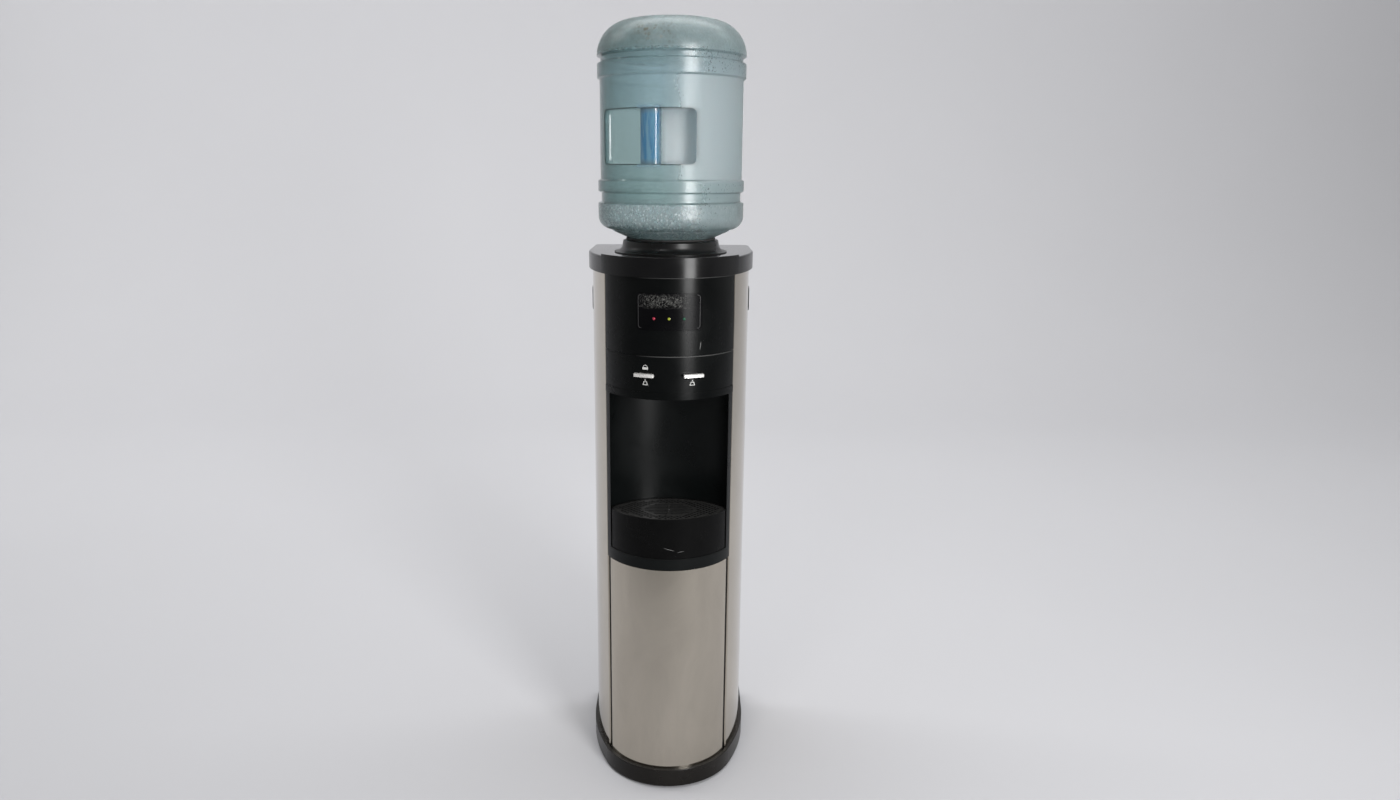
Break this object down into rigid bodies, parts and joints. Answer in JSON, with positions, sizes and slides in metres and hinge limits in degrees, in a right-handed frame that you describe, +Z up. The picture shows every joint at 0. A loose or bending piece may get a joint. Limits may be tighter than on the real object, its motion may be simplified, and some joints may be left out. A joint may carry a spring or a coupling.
{
  "type": "water dispenser",
  "caption": "Floor-standing hot and cold water dispenser: steel sides, curved black front with press levers over an alcove and drip tray, and an inverted bottle on top.",
  "frame": {"origin": "on the floor, under the middle of the dispenser's overall width and depth", "axes": "front of the dispenser faces -Y, +Z is up, +X is to the right as seen from the front"},
  "size_m": [0.318, 0.3593, 1.4428],
  "materials": {
    "gloss_black": "gloss",
    "satin_black": "satin",
    "bright_metal": "satin",
    "polished_steel": "polished",
    "grey_sheet": "matt",
    "black_metal": "satin",
    "steel": "satin",
    "copper": "bare",
    "mica": "matt",
    "rubber": "matt",
    "silicone": "satin",
    "foam": "matt",
    "black_plastic": "matt",
    "white_plastic": "satin",
    "board": "matt",
    "red_lamp": "gloss",
    "yellow_lamp": "gloss",
    "green_lamp": "gloss",
    "bottle_blue": "gloss"
  },
  "bodies": {
    "cabinet": {"base_plinth": "gloss_black", "top_cover": "gloss_black", "display_window": "gloss_black", "tap_fascia": "satin_black", "display_fascia": "satin_black", "alcove_liner": "satin_black", "edge_trims": "satin_black", "bottle_collar": "satin_black", "carry_grip_left": "satin_black", "carry_grip_right": "satin_black", "side_panel_left": "polished_steel", "side_panel_right": "polished_steel", "lower_front_panel": "polished_steel", "back_panel": "grey_sheet", "tank_shelf": "grey_sheet", "hot_tank_bracket": "grey_sheet", "base_plate": "grey_sheet", "tap_bracket": "grey_sheet", "compressor": "black_metal", "condenser_tube": "black_metal", "condenser_wires": "black_metal", "cold_tank": "steel", "hot_tank": "steel", "lever_pins": "steel", "hot_valve_spring": "steel", "cold_valve_spring": "steel", "tank_thermostats": "steel", "evaporator_coil": "copper", "refrigerant_lines": "copper", "filter_drier": "copper", "heater_band": "mica", "feet": "rubber", "compressor_grommets": "rubber", "collar_seal": "rubber", "water_hoses": "silicone", "tank_insulation": "foam", "condenser_clips": "black_plastic", "start_relay": "black_plastic", "switch_bezel": "black_plastic", "drain_fitting": "black_plastic", "cord_gland": "black_plastic", "hot_valve_body": "white_plastic", "cold_valve_body": "white_plastic", "feed_spike": "white_plastic", "indicator_board": "board", "hot_lamp": "red_lamp", "power_lamp": "yellow_lamp", "cold_lamp": "green_lamp"},
    "bottle": {"bottle": "bottle_blue", "bottle_cap": "white_plastic"},
    "hot_lever": {"hot_lever": "bright_metal"},
    "cold_lever": {"cold_lever": "bright_metal"},
    "hot_stem": {"hot_valve_stem": "white_plastic"},
    "cold_stem": {"cold_valve_stem": "white_plastic"},
    "drip_tray": {"drip_tray": "satin_black"},
    "drip_grille": {"drip_grille": "satin_black"},
    "heater_switch": {"heater_switch": "red_lamp"},
    "cooler_switch": {"cooler_switch": "green_lamp"},
    "drain_cap": {"drain_cap": "black_plastic"}
  },
  "joints": [
    {"name": "bottle_lift", "type": "slide", "parent": "cabinet", "child": "bottle", "axis": [0, 0, 1], "range_m": [0, 0.13]},
    {"name": "tray_slide", "type": "slide", "parent": "cabinet", "child": "drip_tray", "axis": [0, -1, 0], "range_m": [0, 0.12]},
    {"name": "grille_lift", "type": "slide", "parent": "drip_tray", "child": "drip_grille", "axis": [0, 0, 1], "range_m": [0, 0.03]},
    {"name": "drain_cap_pull", "type": "slide", "parent": "cabinet", "child": "drain_cap", "axis": [0, 1, 0], "range_m": [0, 0.02]},
    {"name": "hot_lever_press", "type": "hinge", "parent": "cabinet", "child": "hot_lever", "pos_m": [-0.042, -0.141, 0.8296], "axis": [1, 0, 0], "range_deg": [0, 12], "stiffness_Nm_per_rad": 0.6, "springref_deg": -8.59},
    {"name": "hot_stem_lift", "type": "slide", "parent": "cabinet", "child": "hot_stem", "axis": [0, 0, 1], "range_m": [0, 0.0036], "deforming": ["hot_valve_spring"]},
    {"name": "cold_lever_press", "type": "hinge", "parent": "cabinet", "child": "cold_lever", "pos_m": [0.042, -0.141, 0.8296], "axis": [1, 0, 0], "range_deg": [0, 12], "stiffness_Nm_per_rad": 0.6, "springref_deg": -8.59},
    {"name": "cold_stem_lift", "type": "slide", "parent": "cabinet", "child": "cold_stem", "axis": [0, 0, 1], "range_m": [0, 0.0036], "deforming": ["cold_valve_spring"]},
    {"name": "heater_switch_rock", "type": "hinge", "parent": "cabinet", "child": "heater_switch", "pos_m": [0.0655, 0.146, 0.9], "axis": [-1, 0, 0], "range_deg": [0, 14]},
    {"name": "cooler_switch_rock", "type": "hinge", "parent": "cabinet", "child": "cooler_switch", "pos_m": [0.0845, 0.146, 0.9], "axis": [-1, 0, 0], "range_deg": [0, 14]}
  ],
  "couplings": [
    {"joint": "hot_stem_lift", "follows": "hot_lever_press", "m_per_rad": 0.0169},
    {"joint": "cold_stem_lift", "follows": "cold_lever_press", "m_per_rad": 0.0169}
  ]
}
